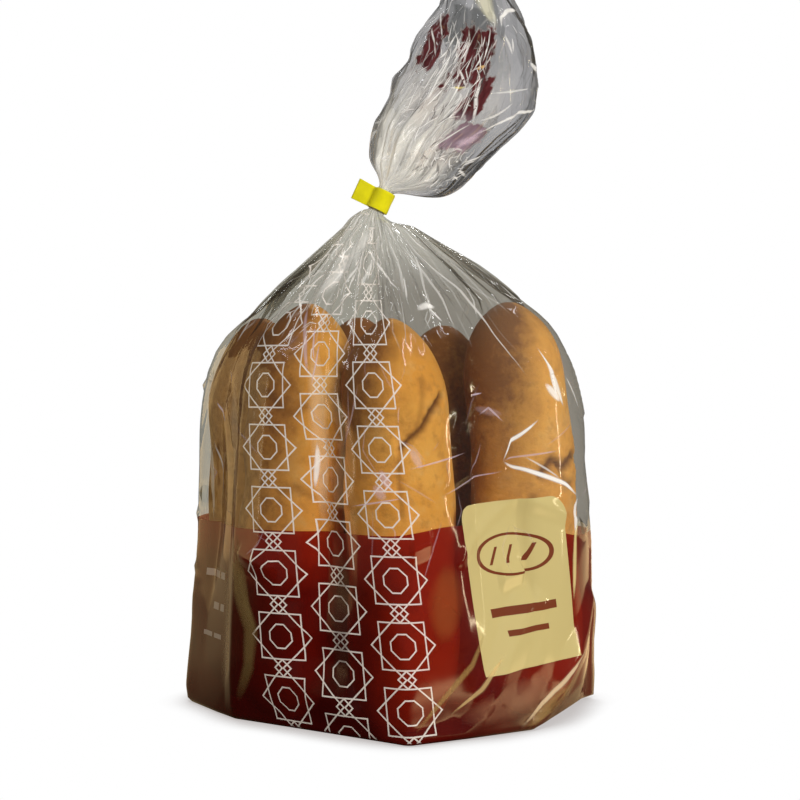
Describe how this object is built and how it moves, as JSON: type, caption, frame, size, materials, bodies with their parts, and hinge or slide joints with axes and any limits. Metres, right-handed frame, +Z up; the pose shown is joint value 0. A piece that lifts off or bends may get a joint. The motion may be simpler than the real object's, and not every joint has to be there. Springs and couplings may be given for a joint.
{
  "type": "bag of sandwich rolls",
  "caption": "Clear film bread bag filled with long sandwich rolls standing on end, block bottom printed dark red, gathered at the neck with a yellow tape, crumpled tail above.",
  "frame": {"origin": "middle of the flat base that the bag stands on", "axes": "+Z up out of the base towards the neck, +X to the right of the side that the picture shows, -Y towards the viewer"},
  "size_m": [0.1784, 0.1358, 0.322],
  "materials": {
    "film": "glossy",
    "tape": "satin",
    "bread": "matte"
  },
  "bodies": {
    "root": {"bag": "film", "neck_tape": "tape"}
  },
  "joints": []
}
